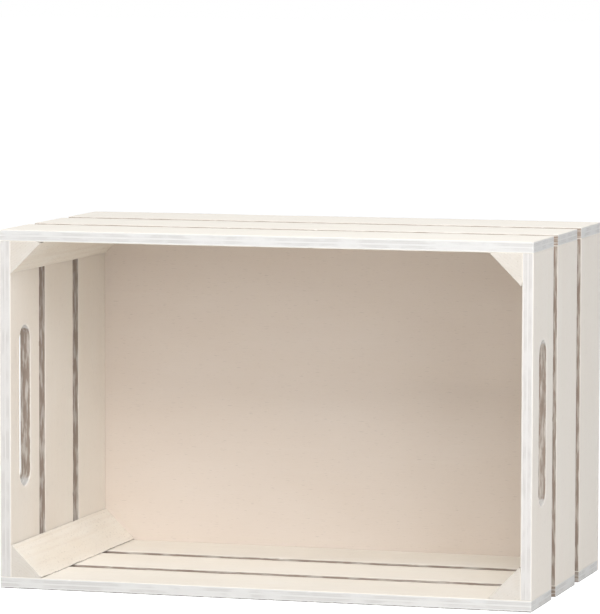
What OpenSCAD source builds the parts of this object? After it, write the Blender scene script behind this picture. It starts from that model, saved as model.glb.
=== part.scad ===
// Slatted plywood storage crate, lying on one long side with its open rim to the front.
// X runs along the length, Y from the rim back to the base panel, and Z is up.
// The origin is the middle of the face that the crate rests on.

/* [Crate] */
// Overall length, over the ends of the long slats
crate_l = 460; // [340:5:600]
// Overall height as it lies, which is its width when it stands on its base
crate_h = 303; // [260:1:400]

/* [Slats] */
// Width of each slat
slat_w = 72; // [60:1:100]
// Open gap between neighbouring slats
slat_gap = 15; // [6:0.5:30]
// Thickness of the slats' plywood
slat_t = 9.5; // [6:0.5:12]

/* [Hand-holds] */
// Length of each hand-hold slot, over its round ends
slot_l = 137; // [90:1:150]
// Width of each hand-hold slot
slot_w = 27; // [20:1:40]

/* [Corner posts] */
// Leg of each triangular post, along either wall
post_leg = 28; // [24:0.5:36]

/* [Base] */
// Thickness of the base panel
base_t = 4; // [3:0.5:9]

/* [Brads] */
// Diameter of a brad's shank
brad_d = 1.4; // [1:0.1:1.8]
// Diameter of a brad's head
brad_head_d = 2.2; // [2:0.1:3]
// Thickness of a brad's head
brad_head_t = 0.8; // [0.5:0.1:1.2]
// Length of a brad's point
brad_point_l = 2; // [1:0.5:4]
// How far a head is sunk below the face
brad_sink = 0.5; // [0.2:0.1:1]
// How deep a brad reaches into the piece behind
brad_bite = 14; // [10:0.5:15]
// Clearance round a brad in its hole
brad_clear = 0.05; // [0.02:0.01:0.1]
// From a long slat's edge to its brads
long_brad_edge = 12; // [8:1:18]
// From an end slat's edge to its brads
end_brad_edge = 24; // [22:1:26]
// Brads through the base panel along each long edge
base_brads_long = 4; // [2:1:6]
// Brads through the base panel along each short edge
base_brads_end = 2; // [2:1:3]
// From the base panel's corners to the first brad along each edge
base_brad_inset = 60; // [50:1:80]

/* [Hidden] */

// Rows of slats from the open rim to the base
RIM = 0;
MIDDLE = 1;
BASE = 2;
ROWS = [RIM, MIDDLE, BASE];

slat_pitch = slat_w + slat_gap;
slats_d = BASE * slat_pitch + slat_w;
crate_d = slats_d + base_t;
front_y = -crate_d / 2;
slats_back_y = front_y + slats_d;
back_y = slats_back_y + base_t;

end_slat_l = crate_h - 2 * slat_t;
inner_x = crate_l / 2 - slat_t;

// A brad enters the post a third of the way along its leg, where the wood behind is deepest
brad_in_post = post_leg / 3;
slat_brad_l = slat_t - brad_sink + brad_bite;
base_brad_l = base_t - brad_sink + brad_bite;
brad_fn = 24;
slot_fn = 64;

// How far a cutting solid runs past the face that it opens
cut_over = 1;

limed_face = [0.93, 0.91, 0.87];
limed_end = [0.84, 0.82, 0.79];
limed_post = [0.95, 0.93, 0.90];
cream_base = [0.90, 0.85, 0.79];
steel_grey = [0.62, 0.62, 0.63];

// Y of the front edge of the slats in one row
function row_y(row) = front_y + row * slat_pitch;

// Y of the two brads across a slat, each the same distance in from its own edge
function brad_ys(row, edge) = [row_y(row) + edge, row_y(row) + slat_w - edge];

// Equal steps from -half to half
function spread(half, count) = [for (i = [0 : count - 1]) -half + 2 * half * i / (count - 1)];

// Children lie on a long side's outer face with -Z into the wood, once for each brad
module on_long_side(side, rows) {
    for (row = rows, end = [-1, 1], y = brad_ys(row, long_brad_edge))
        translate([end * (inner_x - brad_in_post), y, side > 0 ? crate_h : 0])
            rotate([side > 0 ? 0 : 180, 0, 0])
                children();
}

// Children lie on an end's outer face with -Z into the wood, once for each brad
module on_end(side, rows) {
    for (row = rows, z = [slat_t + brad_in_post, crate_h - slat_t - brad_in_post],
            y = brad_ys(row, end_brad_edge))
        translate([side * crate_l / 2, y, z])
            rotate([0, side * 90, 0])
                children();
}

// Children lie on the base panel's outer face with -Z into the crate, once for each brad
module on_base() {
    for (z = [slat_t / 2, crate_h - slat_t / 2],
            x = spread(crate_l / 2 - base_brad_inset, base_brads_long))
        translate([x, back_y, z])
            rotate([-90, 0, 0])
                children();
    for (x = [-1, 1] * (crate_l - slat_t) / 2,
            z = spread(crate_h / 2 - base_brad_inset, base_brads_end))
        translate([x, back_y, crate_h / 2 + z])
            rotate([-90, 0, 0])
                children();
}

// A headed brad of the length given under its sunk head's top, pointing along -Z
module brad(length) {
    $fn = brad_fn;
    translate([0, 0, -brad_sink - brad_head_t])
        cylinder(h = brad_head_t, d = brad_head_d);
    translate([0, 0, -brad_sink - length + brad_point_l])
        cylinder(h = length - brad_point_l - brad_head_t, d = brad_d);
    translate([0, 0, -brad_sink - length])
        cylinder(h = brad_point_l, d1 = 0, d2 = brad_d);
}

// The hole that the same brad fills, open at the face
module brad_hole(length) {
    $fn = brad_fn;
    head_floor = brad_sink + brad_head_t + brad_clear;
    hole_floor = brad_sink + length + brad_clear;
    translate([0, 0, -head_floor])
        cylinder(h = head_floor + cut_over, d = brad_head_d + 2 * brad_clear);
    translate([0, 0, -hole_floor])
        cylinder(h = hole_floor, d = brad_d + 2 * brad_clear);
}

// One of the full-length boards along the top (side 1) or the bottom (side -1)
module long_slat(side, row) {
    color(limed_face)
    difference() {
        translate([-crate_l / 2, row_y(row), side > 0 ? crate_h - slat_t : 0])
            cube([crate_l, slat_w, slat_t]);
        on_long_side(side, [row])
            brad_hole(slat_brad_l);
        if (row == BASE)
            on_base()
                brad_hole(base_brad_l);
    }
}

// One of the shorter boards that stand between the long ones, at the right (1) or the left (-1)
module end_slat(side, row) {
    color(limed_end)
    difference() {
        translate([side > 0 ? inner_x : -crate_l / 2, row_y(row), slat_t])
            cube([slat_t, slat_w, end_slat_l]);
        on_end(side, [row])
            brad_hole(slat_brad_l);
        if (row == RIM)
            translate([side * (inner_x + slat_t / 2), row_y(row) + slat_w / 2, crate_h / 2])
                hand_hold();
        if (row == BASE)
            on_base()
                brad_hole(base_brad_l);
    }
}

// A slot with round ends, long in Z, that goes through an end slat
module hand_hold() {
    cut_l = slat_t + 2 * cut_over;
    straight_l = slot_l - slot_w;
    cube([cut_l, slot_w, straight_l], center = true);
    for (end = [-1, 1])
        translate([0, 0, end * straight_l / 2])
            rotate([0, 90, 0])
                cylinder(h = cut_l, d = slot_w, center = true, $fn = slot_fn);
}

// A triangular post in the corner at end_side (1 right, -1 left) and long_side (1 top, -1 bottom)
module corner_post(end_side, long_side) {
    color(limed_post)
    difference() {
        translate([end_side * inner_x, slats_back_y, long_side > 0 ? crate_h - slat_t : slat_t])
            rotate([90, 0, 0])
                linear_extrude(height = slats_d)
                    polygon([[0, 0], [-end_side * post_leg, 0], [0, -long_side * post_leg]]);
        on_long_side(long_side, ROWS)
            brad_hole(slat_brad_l);
        on_end(end_side, ROWS)
            brad_hole(slat_brad_l);
    }
}

module top_rim_slat() { long_slat(1, RIM); }
module top_middle_slat() { long_slat(1, MIDDLE); }
module top_base_slat() { long_slat(1, BASE); }
module bottom_rim_slat() { long_slat(-1, RIM); }
module bottom_middle_slat() { long_slat(-1, MIDDLE); }
module bottom_base_slat() { long_slat(-1, BASE); }
module left_handle_slat() { end_slat(-1, RIM); }
module left_middle_slat() { end_slat(-1, MIDDLE); }
module left_base_slat() { end_slat(-1, BASE); }
module right_handle_slat() { end_slat(1, RIM); }
module right_middle_slat() { end_slat(1, MIDDLE); }
module right_base_slat() { end_slat(1, BASE); }
module post_top_left() { corner_post(-1, 1); }
module post_top_right() { corner_post(1, 1); }
module post_bottom_left() { corner_post(-1, -1); }
module post_bottom_right() { corner_post(1, -1); }

// The thin panel on the back edges of the slats and the ends of the posts
module base_panel() {
    color(cream_base)
    difference() {
        translate([-crate_l / 2, slats_back_y, 0])
            cube([crate_l, base_t, crate_h]);
        on_base()
            brad_hole(base_brad_l);
    }
}

module brads_top() {
    color(steel_grey)
    on_long_side(1, ROWS)
        brad(slat_brad_l);
}

module brads_bottom() {
    color(steel_grey)
    on_long_side(-1, ROWS)
        brad(slat_brad_l);
}

module brads_left() {
    color(steel_grey)
    on_end(-1, ROWS)
        brad(slat_brad_l);
}

module brads_right() {
    color(steel_grey)
    on_end(1, ROWS)
        brad(slat_brad_l);
}

module brads_base() {
    color(steel_grey)
    on_base()
        brad(base_brad_l);
}

top_rim_slat();
top_middle_slat();
top_base_slat();
bottom_rim_slat();
bottom_middle_slat();
bottom_base_slat();
left_handle_slat();
left_middle_slat();
left_base_slat();
right_handle_slat();
right_middle_slat();
right_base_slat();
post_top_left();
post_top_right();
post_bottom_left();
post_bottom_right();
base_panel();
brads_top();
brads_bottom();
brads_left();
brads_right();
brads_base();
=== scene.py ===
# %% [markdown]
# A slatted plywood storage crate, lying on its long side
#
# Each real piece of the crate is made again here as a surface worked out with numpy: the same size and
# place as its construction solid, but with softened edges, plies that stand a hair proud of each other,
# small lumps, and a thin coat of lime wash that lets the grain through. The construction comes in first
# as a fixed frame, and every measure below is read from it.

# %% Bring in the frame
import itertools
import math

import bpy
import numpy as np
from mathutils import Matrix, Vector


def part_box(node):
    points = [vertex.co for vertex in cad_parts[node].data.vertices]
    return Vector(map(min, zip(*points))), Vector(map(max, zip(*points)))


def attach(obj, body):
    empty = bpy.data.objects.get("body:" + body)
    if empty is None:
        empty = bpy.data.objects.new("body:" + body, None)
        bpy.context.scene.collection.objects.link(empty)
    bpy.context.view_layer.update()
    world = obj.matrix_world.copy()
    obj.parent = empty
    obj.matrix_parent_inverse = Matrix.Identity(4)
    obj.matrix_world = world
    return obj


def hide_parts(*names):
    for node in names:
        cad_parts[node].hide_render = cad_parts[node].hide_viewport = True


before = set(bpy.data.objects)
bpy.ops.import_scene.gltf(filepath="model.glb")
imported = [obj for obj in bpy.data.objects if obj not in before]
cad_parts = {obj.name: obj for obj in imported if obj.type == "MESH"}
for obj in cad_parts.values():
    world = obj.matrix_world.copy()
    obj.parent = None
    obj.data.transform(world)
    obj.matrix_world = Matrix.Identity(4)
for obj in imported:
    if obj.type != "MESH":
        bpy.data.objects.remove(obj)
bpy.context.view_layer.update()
MM = 0.001

# %% [markdown]
# How wood gets uneven
#
# Nothing on a cheap crate is quite straight, and nothing on it is random from point to point either: an
# edge wanders over centimetres, and its chips come in patches. Smooth noise has both. A random height at
# every corner of a lattice, blended by the point's place in its cell, is the plainest kind. It takes
# whole arrays at once and gives the same heights on every run, because the table comes from a fixed seed.

# %% Smooth noise
NOISE_TABLE = 1 << 16
CORNERS = np.array(list(itertools.product((0, 1), repeat=3)))
HASH = np.array((73856093, 19349663, 83492791))


def mottle(points, size, seed):
    """Smooth random values from -1 to 1 through space, with lumps of about `size` metres.

    size is one number, or three for lumps that are longer one way. The value is the blend of the random
    heights at the eight corners of the point's cell, weighted by its smoothstepped place between them."""
    heights = np.random.default_rng(seed).uniform(-1, 1, NOISE_TABLE)
    place = points / np.asarray(size, float)
    cell = np.floor(place).astype(np.int64)
    part = place - cell
    part = part * part * (3 - 2 * part)
    total = np.zeros(points.shape[:-1])
    for corner in CORNERS:
        key = ((cell + corner) * HASH).sum(-1) & (NOISE_TABLE - 1)
        total += heights[key] * np.where(corner, part, 1 - part).prod(-1)
    return total


def fade(value, low, high):
    """0 below low, 1 above high, and a smoothstep between them."""
    part = np.clip((value - low) / (high - low), 0, 1)
    return part * part * (3 - 2 * part)


trial = mottle(np.random.default_rng(1).uniform(0, 1, (1000, 3)), 0.01, 1)
print("noise on 1000 points: mean %.2f, spread %.2f" % (trial.mean(), trial.std()))

# %% [markdown]
# Building a material by hand
#
# A node material is a small circuit. Three helpers keep the circuits below short enough to read: one
# makes a node and plugs in whatever it is given, one does arithmetic, and one gives stretched noise. The
# stretch is the important part, since wood is the same noise pulled out along its grain.

# %% Node helpers


def add(tree, kind, inputs=None, **settings):
    """A new node. settings are its properties.

    inputs are its sockets, each with a value or with the socket that feeds it."""
    made = tree.nodes.new(kind)
    for key, value in settings.items():
        setattr(made, key, value)
    for key, value in (inputs or {}).items():
        if isinstance(value, bpy.types.NodeSocket):
            tree.links.new(value, made.inputs[key])
        else:
            made.inputs[key].default_value = value
    return made


def maths(tree, operation, a, b=0.0, clamp=False):
    """One sum on two numbers or sockets."""
    return add(tree, "ShaderNodeMath", {0: a, 1: b}, operation=operation, use_clamp=clamp).outputs[0]


def grade(tree, value, low, high, start=0.0, end=1.0):
    """`value` from low to high becomes start to end, smoothly and no further."""
    limits = {0: value, 1: low, 2: high, 3: start, 4: end}
    return add(tree, "ShaderNodeMapRange", limits, interpolation_type="SMOOTHSTEP").outputs[0]


def blend(tree, share, a, b, blend_type="MIX"):
    """Colour a where share is 0, and b, mixed in by blend_type, where it is 1."""
    node = add(tree, "ShaderNodeMix", {0: share, 6: a, 7: b}, data_type="RGBA", blend_type=blend_type)
    return node.outputs[2]


def noise(tree, vector, stretch, detail=2.0, roughness=0.5):
    """Noise from 0 to 1, with stretch[i] lumps to the metre along the vector's axis i."""
    place = add(tree, "ShaderNodeVectorMath", {0: vector, 1: stretch}, operation="MULTIPLY").outputs[0]
    inputs = {"Vector": place, "Scale": 1.0, "Detail": detail, "Roughness": roughness}
    return add(tree, "ShaderNodeTexNoise", inputs).outputs[0]


def new_material(name):
    """An empty node material and its tree."""
    material = bpy.data.materials.new(name)
    material.use_nodes = True
    material.node_tree.nodes.clear()
    return material, material.node_tree


def srgb(r, g, b):
    """A colour read off a screen, 0 to 255, as the linear numbers that a shader works in."""
    c = np.array((r, g, b)) / 255
    return (*np.where(c <= 0.04045, c / 12.92, ((c + 0.055) / 1.055) ** 2.4).tolist(), 1.0)


print("mid grey 128 is", round(srgb(128, 128, 128)[0], 3), "in linear light")

# %% [markdown]
# Limed plywood
#
# The slats are birch-faced plywood under one thin coat of white wash. On the real thing the wash is
# almost closed on the flats, a little thinner along the hard lines of the grain, and greyish on the cut
# edges, where the end grain of every second ply drinks it in. The material is solid: each point knows how
# far it lies along, across and through its board, from a mesh attribute called grain. The distance
# through the board picks the ply, and in every second ply the grain runs the other way. So the same
# circuit draws long streaks on the faces, stripes on the edges, and dots where the end grain comes out.

# %% The plywood material
# Dark brown for pores and specks in the wood, and also the colour of the painted shade
PORE_AND_SHADE_BROWN = srgb(66, 52, 42)
# Painted shade colour for the cut edges seen down the gaps between the slats
GAP_SHADE = srgb(158, 142, 129)
RIM_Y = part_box("top_rim_slat")[0].y


def finish_surface(tree, colour, roughness, height, bump, depth):
    """Plugs the colour, the roughness and the height of the relief into one matt surface."""
    normal = add(tree, "ShaderNodeBump", {"Height": height, "Strength": bump, "Distance": depth}).outputs[0]
    surface = add(
        tree,
        "ShaderNodeBsdfPrincipled",
        {"Base Color": colour, "Roughness": roughness, "Specular IOR Level": 0.3, "Normal": normal},
    )
    add(tree, "ShaderNodeOutputMaterial", {"Surface": surface.outputs[0]})


def paint_shade(tree, colour, vector):
    """Painted shade: darkens the colour toward dark brown where the painted shade attribute is high, in broken
    patches.
    """
    amount = add(tree, "ShaderNodeAttribute", attribute_name="painted_shade").outputs["Fac"]
    patches = noise(tree, vector, (260, 260, 260), detail=3)
    share = grade(tree, maths(tree, "ADD", amount, patches), 0.95, 1.35)
    return blend(tree, share, colour, PORE_AND_SHADE_BROWN)


def limed_plywood(name, thickness, plies, wash, bare, edge, cover, cross_tone):
    """Wash over plywood. cover is how closed the coat is, and cross_tone darkens the plies of end grain.

    edge is the coat on the cut edges of the rim. The cut edges behind it, seen down the gaps between the slats,
    get a painted shade colour, in patches."""
    material, tree = new_material(name)
    grain = add(tree, "ShaderNodeAttribute", attribute_name="grain").outputs["Vector"]
    along, across, through = add(tree, "ShaderNodeSeparateXYZ", {0: grain}).outputs

    sway = noise(tree, grain, (18, 18, 18), detail=1)
    level = maths(tree, "MULTIPLY_ADD", through, plies / thickness)
    level.node.inputs[2].default_value = plies / 2
    level = maths(tree, "ADD", level, maths(tree, "MULTIPLY", maths(tree, "SUBTRACT", sway, 0.5), 0.35))
    level = maths(tree, "MAXIMUM", maths(tree, "MINIMUM", level, plies - 0.02), 0.02)
    ply = maths(tree, "FLOOR", level)
    crossing = maths(tree, "FLOORED_MODULO", ply, 2.0)

    shift = maths(tree, "MULTIPLY", ply, 0.37)
    straight = add(tree, "ShaderNodeCombineXYZ", {0: along, 1: across, 2: shift}).outputs[0]
    turned = add(tree, "ShaderNodeCombineXYZ", {0: across, 1: along, 2: shift}).outputs[0]
    fibre = add(tree, "ShaderNodeMix", {0: crossing, 4: straight, 5: turned}, data_type="VECTOR").outputs[1]

    cloud = noise(tree, grain, (7, 16, 16), detail=3, roughness=0.55)
    streak = noise(tree, fibre, (5, 150, 40), detail=4, roughness=0.6)
    hair = noise(tree, fibre, (70, 1100, 300), detail=2)
    pore = grade(tree, noise(tree, fibre, (150, 1500, 700), detail=1), 0.66, 0.76)

    coat = maths(tree, "MULTIPLY_ADD", maths(tree, "SUBTRACT", cloud, 0.5), 0.55)
    coat.node.inputs[2].default_value = cover
    coat = maths(tree, "ADD", coat, maths(tree, "MULTIPLY", maths(tree, "SUBTRACT", streak, 0.5), -0.40))
    fine = maths(tree, "MULTIPLY", maths(tree, "SUBTRACT", hair, 0.5), -0.18)
    coat = maths(tree, "ADD", coat, fine, clamp=True)
    wood = blend(tree, streak, bare, wash, "MIX")
    colour = blend(tree, coat, wood, wash)
    colour = blend(tree, maths(tree, "MULTIPLY", pore, 0.16), colour, PORE_AND_SHADE_BROWN)

    # The cut edges: greyer coat, painted shade down the gaps, darker end grain, and a thin broken glue line
    # between two plies
    past_first = grade(tree, level, 0.25, 0.45)
    before_last = grade(tree, level, plies - 0.25, plies - 0.45)
    inner = maths(tree, "MULTIPLY", past_first, before_last)
    sides = grade(tree, maths(tree, "ABSOLUTE", through), thickness / 2 * 0.97, thickness / 2 * 0.80)
    rim = maths(tree, "MAXIMUM", inner, sides)
    where = add(tree, "ShaderNodeTexCoord").outputs
    depth = add(tree, "ShaderNodeSeparateXYZ", {0: where["Object"]}).outputs[1]
    facing = add(tree, "ShaderNodeSeparateXYZ", {0: where["Normal"]}).outputs[1]
    cut_face = grade(tree, maths(tree, "ABSOLUTE", facing), 0.6, 0.9)
    # Painted shade: cut edges facing front or back behind the rim, seen down the gaps, turn brown-grey in
    # patches
    behind = maths(tree, "MULTIPLY", grade(tree, depth, RIM_Y + 3 * MM, RIM_Y + 6 * MM), cut_face)
    shade_patches = grade(tree, noise(tree, grain, (60, 60, 500), detail=3), 0.42, 0.68)
    gap = blend(tree, shade_patches, GAP_SHADE, blend(tree, 0.5, GAP_SHADE, wash))
    front = blend(tree, maths(tree, "MULTIPLY", streak, 0.25), edge, wash)
    colour = blend(tree, rim, colour, blend(tree, behind, front, gap))
    broken = grade(tree, noise(tree, grain, (45, 45, 120), detail=3), 0.38, 0.62)
    tone = maths(tree, "MULTIPLY", maths(tree, "MULTIPLY", crossing, inner), broken)
    tone = maths(tree, "MULTIPLY", tone, cross_tone)
    colour = blend(tree, tone, colour, srgb(120, 108, 96))
    middle = maths(tree, "ABSOLUTE", maths(tree, "SUBTRACT", maths(tree, "FRACT", level), 0.5))
    glue = maths(tree, "MULTIPLY", grade(tree, middle, 0.42, 0.49), maths(tree, "MULTIPLY", inner, broken))
    colour = blend(tree, maths(tree, "MULTIPLY", glue, 0.35), colour, srgb(104, 90, 78))

    # Painted highlight: the worn, rounded arrises are lightened toward near-white
    edge_highlight = add(tree, "ShaderNodeAttribute", attribute_name="edge_highlight").outputs["Fac"]
    colour = blend(tree, maths(tree, "MULTIPLY", edge_highlight, 0.45), colour, srgb(246, 243, 238))
    # Painted shade at the foot on the floor, in crevices and in pits
    colour = paint_shade(tree, colour, grain)

    height = maths(tree, "SUBTRACT", maths(tree, "ADD", maths(tree, "MULTIPLY", hair, 0.5), streak), pore)
    height = maths(tree, "SUBTRACT", height, glue)
    roughness = grade(tree, cloud, 0.3, 0.7, 0.62, 0.78)
    finish_surface(tree, colour, roughness, height, 0.25, 0.12 * MM)
    return material


SLAT_T = (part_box("top_rim_slat")[1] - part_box("top_rim_slat")[0]).z
BASE_T = (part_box("base_panel")[1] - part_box("base_panel")[0]).y
long_wood = limed_plywood(
    "limed plywood, long slats", SLAT_T, 5,
    wash=srgb(244, 239, 230), bare=srgb(208, 186, 158), edge=srgb(214, 213, 211), cover=0.88, cross_tone=0.14,
)
end_wood = limed_plywood(
    "limed plywood, end slats", SLAT_T, 5,
    wash=srgb(238, 232, 223), bare=srgb(207, 181, 152), edge=srgb(214, 211, 208), cover=0.80, cross_tone=0.12,
)
panel_wood = limed_plywood(
    "limed plywood, base panel", BASE_T, 3,
    wash=srgb(233, 222, 212), bare=srgb(202, 178, 152), edge=srgb(225, 220, 212), cover=0.80, cross_tone=0.20,
)
print("plywood:", long_wood.name, "/", end_wood.name, "/", panel_wood.name)

# %% [markdown]
# The posts' wood
#
# The corner posts are sawn from solid softwood, so their ends show year rings and not plies. The distance
# from a pith that lies outside the post gives the rings, bent a little by noise. They are only a hint on
# the washed ends, and turn into long, faint lines along the slanting face by themselves.

# %% The softwood material
RING_PITCH = 2.1 * MM
PITH = (0.018, 0.031)


def limed_softwood(name, wash, bare, late):
    """Wash over solid softwood, with rings RING_PITCH apart round a pith beside the post."""
    material, tree = new_material(name)
    grain = add(tree, "ShaderNodeAttribute", attribute_name="grain").outputs["Vector"]
    along, across, through = add(tree, "ShaderNodeSeparateXYZ", {0: grain}).outputs
    from_pith = {0: maths(tree, "ADD", across, PITH[0]), 1: maths(tree, "ADD", through, PITH[1])}
    flat = add(tree, "ShaderNodeCombineXYZ", from_pith).outputs[0]
    radius = add(tree, "ShaderNodeVectorMath", {0: flat}, operation="LENGTH").outputs["Value"]
    bend = noise(tree, grain, (6, 90, 90), detail=2)
    turn = maths(tree, "MULTIPLY", radius, 2 * math.pi / RING_PITCH)
    turn = maths(tree, "ADD", turn, maths(tree, "MULTIPLY", bend, 9.0))
    ring = grade(tree, maths(tree, "SINE", turn), -0.2, 1.0)

    cloud = noise(tree, grain, (14, 40, 40), detail=3)
    streak = noise(tree, grain, (7, 260, 260), detail=4, roughness=0.6)
    speck = grade(tree, noise(tree, grain, (500, 620, 620), detail=2), 0.60, 0.74)
    coat = maths(tree, "MULTIPLY_ADD", maths(tree, "SUBTRACT", cloud, 0.5), 0.6)
    coat.node.inputs[2].default_value = 0.88
    coat = maths(tree, "SUBTRACT", coat, maths(tree, "MULTIPLY", ring, 0.05), clamp=True)
    wood = blend(tree, ring, bare, late)
    colour = blend(tree, coat, wood, wash)
    colour = blend(tree, maths(tree, "MULTIPLY", grade(tree, streak, 0.45, 0.75), 0.07), colour, bare)
    colour = blend(tree, maths(tree, "MULTIPLY", speck, 0.22), colour, PORE_AND_SHADE_BROWN)
    # The end grain drinks the wash and stays a shade darker than the long faces
    normal = add(tree, "ShaderNodeTexCoord").outputs["Normal"]
    facing = add(tree, "ShaderNodeSeparateXYZ", {0: normal}).outputs[1]
    end_grain = grade(tree, maths(tree, "ABSOLUTE", facing), 0.6, 0.9)
    colour = blend(tree, maths(tree, "MULTIPLY", end_grain, 0.42), colour, srgb(176, 168, 160))
    # Painted highlight along the worn, rounded arrises
    edge_highlight = add(tree, "ShaderNodeAttribute", attribute_name="edge_highlight").outputs["Fac"]
    colour = blend(tree, maths(tree, "MULTIPLY", edge_highlight, 0.3), colour, srgb(240, 237, 232))
    # Painted shade at the foot on the floor, in the crevices against the slats and in pits
    colour = paint_shade(tree, colour, grain)
    height = maths(tree, "SUBTRACT", maths(tree, "ADD", streak, maths(tree, "MULTIPLY", ring, 0.15)), speck)
    finish_surface(tree, colour, grade(tree, cloud, 0.3, 0.7, 0.60, 0.76), height, 0.3, 0.15 * MM)
    return material


post_wood = limed_softwood(
    "limed softwood, posts", wash=srgb(238, 232, 222), bare=srgb(214, 194, 164), late=srgb(200, 174, 142)
)
print("softwood:", post_wood.name)

# %% [markdown]
# Points to pieces
#
# Every wooden piece ends up in the same way: points and faces go into a mesh, three attributes go with
# them, and the piece is tied to the frame. grain is where a point lies in its board, the second is how much
# of an edge it is, for a painted highlight along the arrises, and the third is how much painted shade goes
# there: at the foot on the floor, in the crevices between parts and in pits.

# %% Meshes, attributes and the frame


def grid_quads(ids):
    """The quads between neighbours in a grid of point numbers, facing first index cross second index."""
    return np.stack([ids[:-1, :-1], ids[1:, :-1], ids[1:, 1:], ids[:-1, 1:]], -1).reshape(-1, 4)


def make_piece(name, points, faces, material, replaced=None, grain=None, edge_highlight=None, painted_shade=None):
    """A mesh object from whole arrays. faces is a list of arrays, each one face to a row."""
    mesh = bpy.data.meshes.new(name)
    mesh.from_pydata(points, [], [face for part in faces for face in part.tolist()])
    mesh.polygons.foreach_set("use_smooth", np.ones(len(mesh.polygons), bool))
    for label, kind, key, values in (
        ("grain", "FLOAT_VECTOR", "vector", grain),
        ("edge_highlight", "FLOAT", "value", edge_highlight),
        ("painted_shade", "FLOAT", "value", painted_shade),
    ):
        if values is not None:
            attribute = mesh.attributes.new(label, kind, "POINT")
            attribute.data.foreach_set(key, np.ravel(values).astype(np.float32))
    mesh.materials.append(material)
    mesh.validate()
    piece = bpy.data.objects.new(name, mesh)
    bpy.context.scene.collection.objects.link(piece)
    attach(piece, "root")
    if replaced:
        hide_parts(replaced)
    return piece


print("helpers ready")

# %% [markdown]
# A board's skin
#
# A sawn board is a box whose edges have been knocked back. It could be a cube with a Bevel modifier, but
# then every edge would be equally sharp from end to end, and there would be no points along it for wear
# to move. Here the skin is the outside of a lattice. The lattice is fine where edges are and coarse on
# the flats. Each point then moves to a set distance from a smaller box inside the board, which rounds
# edges and corners in one sum, and that distance may be different at every point.

# %% The board surface
EDGE = 1.0 * MM
GUARD = 0.4 * MM


def stations(half, step):
    """Places from -half to half: arc steps over the last EDGE at both ends, a guard, then about `step` apart."""
    arc = half - EDGE + EDGE * np.tan(np.radians((0, 12, 23, 34, 45)))
    flat = half - EDGE - GUARD
    inner = np.linspace(-flat, flat, max(2, round(2 * flat / step) + 1))
    return np.concatenate([-arc[::-1], inner, arc])


def box_skin(xs, ys, zs):
    """The points of the lattice xs by ys by zs that lie on its outside, and the quads between them."""
    shape = len(xs), len(ys), len(zs)
    skin = np.ones(shape, bool)
    skin[1:-1, 1:-1, 1:-1] = False
    ids = np.full(shape, -1)
    ids[skin] = np.arange(skin.sum())
    points = np.stack(np.meshgrid(xs, ys, zs, indexing="ij"), -1)[skin]
    sides = (ids[-1], ids[0].T, ids[:, -1].T, ids[:, 0], ids[:, :, -1], ids[:, :, 0].T)
    return points, [grid_quads(side) for side in sides]


def round_off(points, half, radius):
    """Rounds a box: p' = q + radius (p - q) / |p - q|.

    q is the nearest point to p of a box that is smaller by the radius all round."""
    r = radius[:, None]
    core = np.clip(points, r - half, half - r)
    out = points - core
    return core + r * out / np.linalg.norm(out, axis=1, keepdims=True)


def edge_radius(points, seed, plain=0.55 * MM):
    """How far the edge is knocked back: a steady radius, slow and quick wander, and a few chips."""
    slow = mottle(points, 22 * MM, seed)
    quick = mottle(points, 4 * MM, seed + 1)
    chips = fade(mottle(points, 7 * MM, seed + 2), 0.62, 0.9)
    return np.clip(plain * (1 + 0.35 * slow + 0.3 * quick) + 0.9 * MM * chips, 0.12 * MM, 1.6 * MM)


def ply_relief(local, half, seed):
    """How far the cut edge is set in at each point: every second ply drinks more wash and stands back."""
    level = (local[:, 2] / half[2] + 1) * 2.5 + 0.12 * mottle(local, 30 * MM, seed)
    crossing = 0.5 - 0.5 * np.cos(np.clip(level, 0, 5) * math.pi)
    rough = mottle(local, (3 * MM, 3 * MM, 0.8 * MM), seed + 1)
    return 0.07 * MM * crossing + 0.035 * MM * (1 + rough)


def weather(local, half, seed, snug=None):
    """A board's skin points, in its own along, across and through, made into a worn board.

    Returns the new points, the amount of painted highlight for the worn arrises, and the painted shade at
    each, which starts at none. snug, from 0 to 1, is where another piece is butted on: the edge stays crisp
    there."""
    radius = edge_radius(local, seed)
    if snug is not None:
        crisp = 0.16 * MM + 0.25 * MM * fade(mottle(local, 9 * MM, seed + 3), 0.3, 0.8)
        radius = radius * (1 - snug) + snug * crisp
    skin = (np.abs(local) > half - 1e-7).any(axis=1)
    worn = local.copy()
    worn[skin] = round_off(local[skin], half, radius[skin])
    moved = np.linalg.norm(worn - local, axis=1)
    edge_highlight = fade(moved, 0.02 * MM, 0.2 * MM)

    depth = ply_relief(local, half, seed + 4)
    on_edge = np.abs(local[:, 1]) > half[1] - 1e-7
    on_end = np.abs(local[:, 0]) > half[0] - 1e-7
    drift = 0.12 * MM * (1 + mottle(local * (1, 0, 0), 70 * MM, seed + 6))
    worn[:, 1] -= np.sign(local[:, 1]) * on_edge * depth
    worn[:, 0] -= np.sign(local[:, 0]) * on_end * depth
    worn[:, 1] -= drift * local[:, 1] / half[1]
    return worn, edge_highlight, np.zeros(len(local))


def place(local, centre, axes):
    """Board coordinates to the frame's: board axis i lies along frame axis axes[i]."""
    world = np.empty_like(local)
    world[:, axes] = local
    return world + centre


def right_handed(axes):
    """True if the three board axes, in that order, turn the same way as X, Y, Z."""
    return np.linalg.det(np.eye(3)[list(axes)]) > 0


LONG_AXES = (0, 1, 2)
END_AXES = (2, 1, 0)
PANEL_AXES = (0, 2, 1)
PATTERN_STEP = 3.7


def node_frame(node, axes):
    """Centre of a construction node in the frame, and its half size along, across and through the board."""
    low, high = (np.array(corner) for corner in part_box(node))
    return (low + high) / 2, ((high - low) / 2)[list(axes)]


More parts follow.
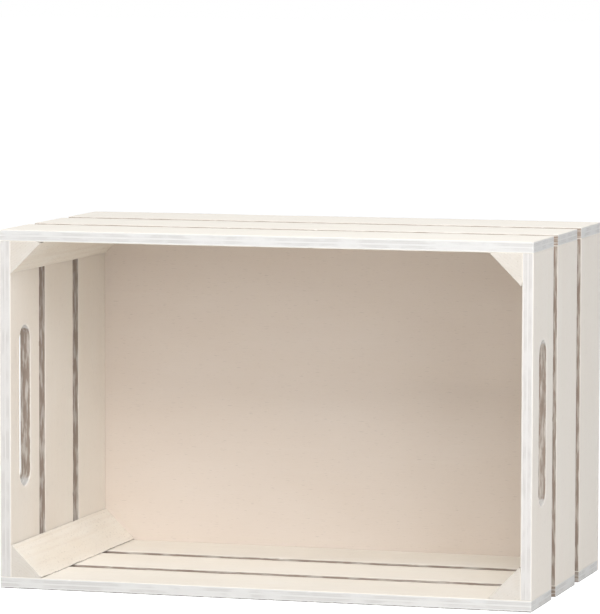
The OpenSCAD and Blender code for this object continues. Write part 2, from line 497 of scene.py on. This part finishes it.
def finish_board(name, local, worn, faces, edge_highlight, painted_shade, centre, axes, number, material):
    """Puts a worn board into the scene, with its own stretch of the grain pattern.

    Its lowest millimetre gets painted shade, a contact shadow where it stands on the floor."""
    if not right_handed(axes):
        faces = [part[:, ::-1] for part in faces]
    grain = local + (PATTERN_STEP * number, 0, 0)
    points = place(worn, centre, axes)
    painted_shade = np.maximum(painted_shade, 0.9 * fade(points[:, 2], 1.1 * MM, 0.3 * MM))
    return make_piece(name, points, faces, material, name, grain, edge_highlight, painted_shade)


print("a long slat has", len(stations(0.23, 1.25 * MM)), "stations along it")

# %% [markdown]
# The six long slats
#
# They run the whole length of the crate, and their ends lap over the end slats, so from the right you see
# their plies end on. The edge that lies against an end slat stays crisp, because it was butted and washed
# over.

# %% Long slats
ALONG_STEP = 1.25 * MM
ACROSS_STEP = 6.5 * MM
PLY_STEP = 0.45 * MM
LONG_SLATS = [f"{side}_{row}_slat" for side in ("top", "bottom") for row in ("rim", "middle", "base")]
INNER_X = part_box("right_middle_slat")[0].x


def long_slat(name, number):
    """One full-length board. Its ends are snug on the side that faces into the crate, past the end slats."""
    centre, half = node_frame(name, LONG_AXES)
    steps = zip(half, (ALONG_STEP, ACROSS_STEP, PLY_STEP))
    local, faces = box_skin(*(stations(h, step) for h, step in steps))
    inward = -1 if name.startswith("top") else 1
    over_end = fade(np.abs(local[:, 0]), INNER_X - MM, INNER_X + MM)
    snug = over_end * fade(inward * local[:, 2], half[2] - 2 * MM, half[2] - MM)
    worn, edge_highlight, painted_shade = weather(local, half, 100 * number, snug)
    return finish_board(
        name, local, worn, faces, edge_highlight, painted_shade, centre, LONG_AXES, number, long_wood
    )


for number, name in enumerate(LONG_SLATS):
    piece = long_slat(name, number + 1)
print("long slats:", len(LONG_SLATS), "with", len(piece.data.polygons), "faces each")

# %% [markdown]
# The plain end slats
#
# Four shorter boards stand between the long ones, with their grain upright. Both ends are butted, so both
# are snug.

# %% End slats without a slot
PLAIN_END_SLATS = [f"{side}_{row}_slat" for side in ("left", "right") for row in ("middle", "base")]


def end_snug(local, half):
    """1 over the last 2 mm at both ends of an upright slat, where it is butted."""
    return fade(np.abs(local[:, 0]), half[0] - 2.5 * MM, half[0] - MM)


def plain_end_slat(name, number):
    """One upright board."""
    centre, half = node_frame(name, END_AXES)
    steps = zip(half, (ALONG_STEP, ACROSS_STEP, PLY_STEP))
    local, faces = box_skin(*(stations(h, step) for h, step in steps))
    worn, edge_highlight, painted_shade = weather(local, half, 100 * number, end_snug(local, half))
    return finish_board(
        name, local, worn, faces, edge_highlight, painted_shade, centre, END_AXES, number, end_wood
    )


for number, name in enumerate(PLAIN_END_SLATS):
    piece = plain_end_slat(name, number + 11)
print("plain end slats:", len(PLAIN_END_SLATS), "with", len(piece.data.polygons), "faces each")

# %% [markdown]
# The slats with the hand-holds
#
# A hand-hold is a slot with round ends, cut by a router through the middle of the rim's end slat. A
# Boolean would cut it in one line, but leaves long thin faces and no points to roughen the wall with. The
# board with its hole is really a ring, so here it is one closed grid: it goes round the slot one way, and
# from the slot's wall out over the face, round the outer edge and back along the other face the other
# way. Each side of the outline is matched with its own stretch of the slot.

# %% End slats with a slot
SLOT_L = 137 * MM
SLOT_W = 27 * MM
SLOT_LIP = 0.9 * MM


def slot_side(share, start, sweep, reach):
    """Points and outward directions on the slot, from the angle start to start + sweep.

    Half way, the walk goes straight on along `reach`. With no reach it is one arc. share runs from 0 to 1 by
    the distance walked."""
    radius = SLOT_W / 2
    arc = radius * sweep / 2
    walked = share * (2 * arc + 2 * reach)
    stops = (0, arc, arc + 2 * reach, 2 * arc + 2 * reach)
    angle = np.interp(walked, stops, (start, start + sweep / 2, start + sweep / 2, start + sweep))
    centre = np.interp(walked, stops, (-reach, -reach, reach, reach))
    out = np.stack([np.cos(angle), np.sin(angle)], -1)
    return out * radius + np.stack([centre, 0 * centre], -1), out


def slotted_skin(half):
    """Points (rings by places round the slot) and quads of a board with the slot through its middle."""
    along, across = stations(half[0], ALONG_STEP), stations(half[1], 3 * MM)
    reach = (SLOT_L - SLOT_W) / 2
    low = np.stack([along[:-1], np.full(len(along) - 1, -half[1])], -1)
    right = np.stack([np.full(len(across) - 1, half[0]), across[:-1]], -1)
    low_share = (along[:-1] + half[0]) / (2 * half[0])
    low_slot, low_out = slot_side(low_share, math.radians(225), math.pi / 2, reach)
    arc_share = (across[:-1] + half[1]) / (2 * half[1])
    right_slot, right_out = slot_side(arc_share, math.radians(315), math.pi / 2, 0.0)
    right_slot = right_slot + (reach, 0)
    outline = np.concatenate([low, right, -low, -right])
    slot = np.concatenate([low_slot, right_slot, -low_slot, -right_slot])
    out = np.concatenate([low_out, right_out, -low_out, -right_out])

    def ring(flat, height):
        """A ring of flat points at one height through the board."""
        return np.concatenate([flat, np.full((len(flat), 1), height)], 1)

    def inset(distance):
        """The outline drawn in by a distance on every side."""
        return outline * (1 - distance / half[:2])

    wall_top = half[2] - SLOT_LIP
    wall = [ring(slot, height) for height in np.linspace(0, wall_top, 9)[1:]]
    lip = [
        ring(slot + out * SLOT_LIP * (1 - math.cos(turn)), wall_top + SLOT_LIP * math.sin(turn))
        for turn in np.radians((18, 36, 54, 72, 90))
    ]
    lip_edge, face_edge = slot + out * SLOT_LIP, inset(EDGE + GUARD)
    shares = np.concatenate([[0.02], np.linspace(0, 1, 14)[1:]])
    face = [ring(lip_edge + (face_edge - lip_edge) * share, half[2]) for share in shares]
    arc = [ring(inset(EDGE * (1 - math.tan(turn))), half[2]) for turn in np.radians((0, 12, 23, 34, 45))]
    upper = np.array(wall + lip + face + arc)
    lower = (upper * (1, 1, -1))[::-1]
    edge = np.array([ring(outline, height) for height in stations(half[2], PLY_STEP)[1:-1][::-1]])
    middle = ring(slot, 0.0)[None]
    rings = np.concatenate([middle, upper, edge, lower])
    ids = np.arange(rings.shape[0] * rings.shape[1]).reshape(rings.shape[:2])
    ids = np.pad(ids, ((0, 1), (0, 1)), mode="wrap")
    return rings.reshape(-1, 3), [grid_quads(ids)]


def handle_slat(name, number):
    """The rim's end slat: a board with a slot, whose sawn wall is rough and a little furry."""
    centre, half = node_frame(name, END_AXES)
    local, faces = slotted_skin(half)
    worn, edge_highlight, painted_shade = weather(local, half, 100 * number, end_snug(local, half))
    reach = (SLOT_L - SLOT_W) / 2
    spine = np.stack([np.clip(local[:, 0], -reach, reach), 0 * local[:, 0]], -1)
    off = local[:, :2] - spine
    distance = np.linalg.norm(off, axis=1)
    wall = 1 - fade(distance, SLOT_W / 2, SLOT_W / 2 + 0.8 * SLOT_LIP)
    rough = 0.25 * MM * mottle(local, (2.2 * MM, 2.2 * MM, 1.1 * MM), number + 50)
    rough += 0.35 * MM * fade(mottle(local, (5 * MM, 5 * MM, 1.9 * MM), number + 51), 0.35, 0.9)
    worn[:, :2] += (off / distance[:, None]) * (wall * rough)[:, None]
    # Painted shade in the deeper hollows of the rough slot wall
    painted_shade = np.maximum(painted_shade, wall * 0.35 * fade(rough, 0.15 * MM, 0.5 * MM))
    # Painted highlight on the rounded lip round the slot
    past = distance - SLOT_W / 2
    lip = fade(past, 0, 0.5 * SLOT_LIP) * (1 - fade(past, SLOT_LIP, 2 * SLOT_LIP))
    edge_highlight = np.maximum(edge_highlight, lip * 0.7)
    return finish_board(
        name, local, worn, faces, edge_highlight, painted_shade, centre, END_AXES, number, end_wood
    )


for number, name in enumerate(("left_handle_slat", "right_handle_slat")):
    piece = handle_slat(name, number + 21)
    print(name, len(piece.data.polygons), "faces")

# %% [markdown]
# The base panel
#
# One thin sheet closes the back. It is the large calm surface that everything is seen against, so it is a
# board like the others, with the finest changes left to the material.

# %% Base panel
PANEL_STEP = 4 * MM


def base_panel(number):
    """The thin sheet on the back edges of the slats."""
    centre, half = node_frame("base_panel", PANEL_AXES)
    steps = zip(half, (PANEL_STEP, PANEL_STEP, PLY_STEP))
    local, faces = box_skin(*(stations(h, step) for h, step in steps))
    worn, edge_highlight, painted_shade = weather(local, half, 100 * number)
    name, slot = "base_panel", "base_panel_wood"
    return finish_board(name, local, worn, faces, edge_highlight, painted_shade, centre, PANEL_AXES, number, panel_wood)


piece = base_panel(31)
print("base panel:", len(piece.data.polygons), "faces")

# %% [markdown]
# The corner posts
#
# Each post is a three-cornered strip, sawn corner to corner out of a square one. Its outline is three
# arcs joined by straight lines, carried along the crate's depth. At the two sharp edges the post doesn't
# sit quite tight on the slats, and that is where the dark, broken lines in the corners come from. So the
# outline is lifted a little there, by an amount that changes along the post. Painted shade darkens those
# lines further.

# %% Corner posts
POST_SIDE_STEP = 1.2 * MM
POST_STEP = 1.6 * MM
TIP_RADIUS = 0.6 * MM
POST_EDGE = 0.5 * MM
SLATS_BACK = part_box("base_panel")[0].y


def post_outline(leg, inset=0.0):
    """Points round a right-angled triangle with rounded corners, drawn in by `inset`.

    Each corner's arc is centred at its radius from both of its sides, so the sides run from arc to arc."""
    tip = TIP_RADIUS * (1 + math.sqrt(2))
    corners = (
        ((TIP_RADIUS, TIP_RADIUS), math.pi, math.pi / 2),
        ((leg - tip, TIP_RADIUS), -math.pi / 2, 0.75 * math.pi),
        ((TIP_RADIUS, leg - tip), math.pi / 4, 0.75 * math.pi),
    )
    arcs = []
    for centre, start, sweep in corners:
        turn = start + np.linspace(0, sweep, 7)
        arcs.append(np.array(centre) + (TIP_RADIUS - inset) * np.stack([np.cos(turn), np.sin(turn)], -1))
    parts = []
    for arc, following in zip(arcs, arcs[1:] + arcs[:1]):
        gap = following[0] - arc[-1]
        count = round(np.linalg.norm(gap) / POST_SIDE_STEP)
        share = np.linspace(0, 1, count + 1)[1:-1, None]
        parts += [arc, arc[-1] + gap * share]
    return np.concatenate(parts)


def post_rings(leg, depth):
    """Rings from one end face to the other: each is (outline points, distance along). Both ends are closed by
    rings that shrink to the middle of the triangle's inner circle."""
    middle = np.full(2, leg * (1 - math.sqrt(0.5)))
    turns = np.radians((90, 65, 40, 20, 0))
    flat = post_outline(leg, POST_EDGE)
    shares = (0.02, 0.14, 0.28, 0.42, 0.56, 0.68, 0.80, 0.90, 0.97)
    cap = [(middle + (flat - middle) * share, 0.0) for share in shares]
    bend = [
        (post_outline(leg, POST_EDGE * (1 - math.cos(turn))), POST_EDGE * (1 - math.sin(turn)))
        for turn in turns
    ]
    front = cap + bend
    back = [(outline, depth - y) for outline, y in front[::-1]]
    body = np.linspace(2 * POST_EDGE, depth - 2 * POST_EDGE, round(depth / POST_STEP))
    middle_part = [(post_outline(leg), y) for y in body]
    rings = front + middle_part + back
    points = np.array([np.concatenate([outline, np.full((len(outline), 1), y)], 1) for outline, y in rings])
    return points, len(cap)


def corner_post(name, end_side, long_side, number):
    """One post. Its own coordinates are the distances in from the end wall, from the long side and from the
    rim."""
    low, high = (np.array(corner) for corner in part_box(name))
    leg, depth = (high - low)[0], (high - low)[1]
    rings, cap = post_rings(leg, depth)
    local = rings.reshape(-1, 3)
    ids = np.pad(np.arange(len(local)).reshape(rings.shape[:2]), ((0, 0), (0, 1)), mode="wrap")
    faces = [grid_quads(ids), ids[0, :-1][None], ids[-1, -2::-1][None]]

    u, v, y = local.T
    worn = local.copy()
    seed = 100 * number
    for axis, reach in ((1, u), (0, v)):
        near = fade(reach, leg - 6 * MM, leg - 1.5 * MM)
        lift = 0.65 * MM * fade(mottle(local * (0, 0, 1) + axis, 11 * MM, seed + axis), -0.35, 0.5)
        lift = lift + 0.25 * MM * mottle(local * (0, 0, 1) + axis, 2.5 * MM, seed + 2 + axis)
        worn[:, axis] += near * np.clip(lift, 0, None) * fade(local[:, axis], 2.5 * MM, 0.0)
    slant = fade(u + v, leg - 1.0 * MM, leg - 0.2 * MM)
    worn[:, :2] -= (slant * 0.10 * MM * (1 + mottle(local, (9 * MM, 9 * MM, 30 * MM), seed + 5)))[:, None]
    end_face = (y < 1e-7) | (y > depth - 1e-7)
    pits = 0.10 * MM * (1 + mottle(local, 1.6 * MM, seed + 6))
    pits += 0.25 * MM * fade(mottle(local, 2.4 * MM, seed + 7), 0.4, 0.9)
    worn[:, 2] += np.where(y < depth / 2, 1, -1) * end_face * pits

    # Painted highlight along the arrises round the ends and on the slanting face near the tips
    tips = fade(np.maximum(u, v), leg - 3 * MM, leg - 0.5 * MM)
    arris = fade(np.abs(y - depth / 2), depth / 2 - 0.5 * MM, depth / 2 - 0.1 * MM) * (1 - end_face)
    edge_highlight = np.maximum(arris, 0.5 * slant * tips)
    # Painted shade where the faces meet the slats, along the tips and in the pits of the ends
    touching = fade(np.minimum(u, v), 0.9 * MM, 0.2 * MM)
    painted_shade = np.maximum(0.75 * touching * end_face, 0.9 * touching * tips)
    painted_shade = np.maximum(painted_shade, 0.45 * end_face * fade(pits, 0.2 * MM, 0.4 * MM))

    x = end_side * (INNER_X - worn[:, 0])
    z = (high[2] - worn[:, 1]) if long_side > 0 else (low[2] + worn[:, 1])
    points = np.stack([x, low[1] + worn[:, 2], z], -1)
    if end_side * long_side > 0:
        faces = [part[:, ::-1] for part in faces]
    grain = np.stack([y + PATTERN_STEP * number, u, v], -1)
    return make_piece(name, points, faces, post_wood, name, grain, edge_highlight, painted_shade)


POSTS = [
    ("post_top_left", -1, 1),
    ("post_top_right", 1, 1),
    ("post_bottom_left", -1, -1),
    ("post_bottom_right", 1, -1),
]
for number, (name, end_side, long_side) in enumerate(POSTS):
    piece = corner_post(name, end_side, long_side, number + 41)
print("posts:", len(POSTS), "with", len(piece.data.polygons), "faces each")

# %% [markdown]
# The brads
#
# The steel brads stay as their construction solids, sunk under the surface. They only need steel: a grey
# metal, dulled in patches.

# %% Steel


def brad_steel():
    """Dull drawn steel: metal whose grey and gloss both change over a few millimetres."""
    material, tree = new_material("drawn steel")
    where = add(tree, "ShaderNodeTexCoord").outputs["Object"]
    patch = noise(tree, where, (700, 700, 700), detail=3)
    colour = blend(tree, patch, srgb(150, 148, 146), srgb(190, 190, 192))
    roughness = grade(tree, patch, 0.3, 0.7, 0.28, 0.5)
    inputs = {"Base Color": colour, "Roughness": roughness, "Metallic": 1.0}
    surface = add(tree, "ShaderNodeBsdfPrincipled", inputs)
    add(tree, "ShaderNodeOutputMaterial", {"Surface": surface.outputs[0]})
    return material


steel = brad_steel()
for name in ("brads_top", "brads_bottom", "brads_left", "brads_right", "brads_base"):
    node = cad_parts[name]
    node.data.materials.clear()
    node.data.materials.append(steel)
print("brads:", steel.name)

# %% [markdown]
# Floor and background
#
# The photograph is cut out on pure white. The floor is a pale one that lights the crate from below as
# paper would. Only what the camera sees of it directly is lifted to white, with a share of real shading
# kept so that the crate still darkens the floor where it stands.

# %% Floor and world
FLOOR_SIZE = 40.0
FLOOR_GLOW = 0.92
FLOOR_SHADE = 0.36
WORLD_LIGHT = 0.25


def seen_directly(tree):
    """1 for rays from the camera, off a mirror or through glass."""
    rays = add(tree, "ShaderNodeLightPath").outputs
    seen = maths(tree, "MAXIMUM", rays["Is Camera Ray"], rays["Is Glossy Ray"])
    return maths(tree, "MAXIMUM", seen, rays["Is Transmission Ray"])


def white_floor():
    """A large square at height 0, white to the eye with a soft shadow."""
    mesh = bpy.data.meshes.new("floor")
    corners = np.array([(-1, -1, 0), (1, -1, 0), (1, 1, 0), (-1, 1, 0)]) * FLOOR_SIZE / 2
    mesh.from_pydata(corners, [], [(0, 1, 2, 3)])
    material, tree = new_material("white floor")
    paper = add(tree, "ShaderNodeBsdfDiffuse", {"Color": (0.80, 0.80, 0.80, 1)}).outputs[0]
    dim = add(tree, "ShaderNodeBsdfDiffuse", {"Color": (FLOOR_SHADE, FLOOR_SHADE, FLOOR_SHADE, 1)}).outputs[0]
    glow = add(tree, "ShaderNodeEmission", {"Color": (1, 1, 1, 1), "Strength": FLOOR_GLOW}).outputs[0]
    shown = add(tree, "ShaderNodeAddShader", {0: glow, 1: dim}).outputs[0]
    either = add(tree, "ShaderNodeMixShader", {0: seen_directly(tree), 1: paper, 2: shown}).outputs[0]
    add(tree, "ShaderNodeOutputMaterial", {"Surface": either})
    mesh.materials.append(material)
    floor = bpy.data.objects.new("floor", mesh)
    bpy.context.scene.collection.objects.link(floor)


def white_world():
    """An even sky that is plain white to the eye and a little dimmer as a light."""
    world = bpy.data.worlds.new("white world")
    world.use_nodes = True
    tree = world.node_tree
    tree.nodes.clear()
    strength = grade(tree, seen_directly(tree), 0, 1, WORLD_LIGHT, 1.0)
    sky = add(tree, "ShaderNodeBackground", {"Color": (1, 1, 1, 1), "Strength": strength}).outputs[0]
    add(tree, "ShaderNodeOutputWorld", {"Surface": sky})
    bpy.context.scene.world = world


white_floor()
white_world()
print("floor and world are white; the world lights at", WORLD_LIGHT)

# %% [markdown]
# Lamps
#
# Five large soft boxes do the rest, as in a product studio. The main one stands high in front of the
# crate and lights the top, the rim and the lower part of the inside. A cooler one at the front right
# lights the right end and the left wall, and three weak ones lift the top, the front and the right. Their
# powers come from a fit: each lamp was rendered alone, and light adds up.

# %% Lamps
AIM = Vector((0, 0, 0.15))
SOFT_BOX_SIZE = 1.6
COOL = (0.92, 0.95, 1.0)


def soft_box(name, position, power, colour=(1, 1, 1)):
    """A square area lamp that looks at the crate."""
    data = bpy.data.lights.new(name, "AREA")
    data.size = SOFT_BOX_SIZE
    data.energy = power
    data.color = colour
    lamp = bpy.data.objects.new(name, data)
    bpy.context.scene.collection.objects.link(lamp)
    lamp.location = position
    lamp.rotation_euler = (AIM - Vector(position)).to_track_quat("-Z", "Y").to_euler()


soft_box("high front", (0.3, -1.9, 2.2), 55)
soft_box("front right", (2.2, -2.4, 1.3), 33, COOL)
soft_box("high back", (0, 1.6, 2.4), 14)
soft_box("front", (0.3, -3.0, 1.3), 7)
soft_box("right", (3.0, -0.3, 1.3), 8, COOL)

# %% [markdown]
# Camera
#
# The place, the aim and the lens were solved from the crate's own corners in the photograph, at its real
# size.

# %% Camera
LENS_MM = 262.3
CAMERA_AT = (1.0662, -3.6443, 0.5646)
CAMERA_YAW = 16.363
CAMERA_PITCH = -4.982
CAMERA_ROLL = 0.130

camera_data = bpy.data.cameras.new("camera")
camera_data.lens = LENS_MM
camera_data.sensor_width = 36.0
camera_data.clip_end = 100.0
camera = bpy.data.objects.new("camera", camera_data)
bpy.context.scene.collection.objects.link(camera)
camera.matrix_world = (
    Matrix.Translation(CAMERA_AT)
    @ Matrix.Rotation(math.radians(CAMERA_YAW), 4, "Z")
    @ Matrix.Rotation(math.radians(90 + CAMERA_PITCH), 4, "X")
    @ Matrix.Rotation(math.radians(CAMERA_ROLL), 4, "Z")
)
bpy.context.scene.camera = camera
bpy.context.scene.view_settings.view_transform = "Standard"
print("camera at", CAMERA_AT)
